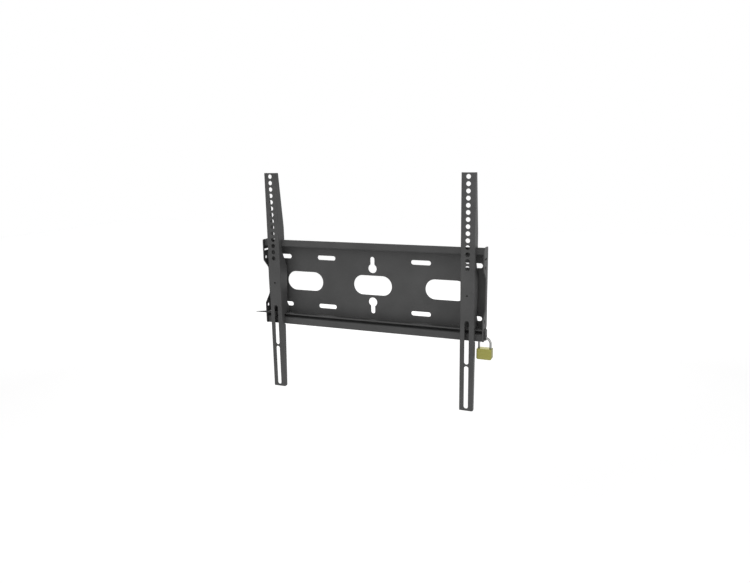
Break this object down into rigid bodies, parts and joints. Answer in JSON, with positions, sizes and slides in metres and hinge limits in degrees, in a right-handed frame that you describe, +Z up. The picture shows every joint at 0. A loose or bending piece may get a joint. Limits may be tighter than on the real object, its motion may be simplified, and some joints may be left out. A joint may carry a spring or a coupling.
{
  "type": "tv wall mount",
  "caption": "Flat wall mount for a large screen: a folded wall plate, two hooked drilled arms and a lock bar held by a small padlock.",
  "frame": {"origin": "middle of the wall plate's outer screw slots, on the wall plane at the back of the plate", "axes": "+X to the right along the wall plate, +Z up, the wall behind it at +Y; the screen hangs at -Y"},
  "size_m": [0.5016, 0.039, 0.44],
  "materials": {
    "coat": "fine matt powder coat",
    "brass": "brushed",
    "steel": "bright plated"
  },
  "bodies": {
    "mount": {"wall_plate": "coat", "arm_left": "coat", "arm_right": "coat", "lock_bar": "coat", "padlock_body": "brass", "shackle": "steel", "heel_pin": "brass", "plug_pin": "brass", "driver_pin_1": "brass", "driver_pin_2": "brass", "driver_pin_3": "brass", "pin_spring_1": "steel", "pin_spring_2": "steel", "pin_spring_3": "steel", "chamber_cap_1": "brass", "chamber_cap_2": "brass", "chamber_cap_3": "brass"},
    "plug": {"key_plug": "brass", "key_pin_1": "brass", "key_pin_2": "brass", "key_pin_3": "brass"},
    "latch": {"latch_bolt": "steel"}
  },
  "joints": [
    {"name": "plug_turn", "type": "hinge", "parent": "mount", "child": "plug", "pos_m": [0.22955, -0.019, -0.12], "axis": [0, 0, 1], "range_deg": [0, 90]},
    {"name": "latch_draw", "type": "slide", "parent": "mount", "child": "latch", "axis": [-1, 0, 0], "range_m": [0, 0.00184]}
  ],
  "couplings": [
    {"joint": "plug_turn", "follows": "latch_draw", "rad_per_m": 854.3}
  ]
}
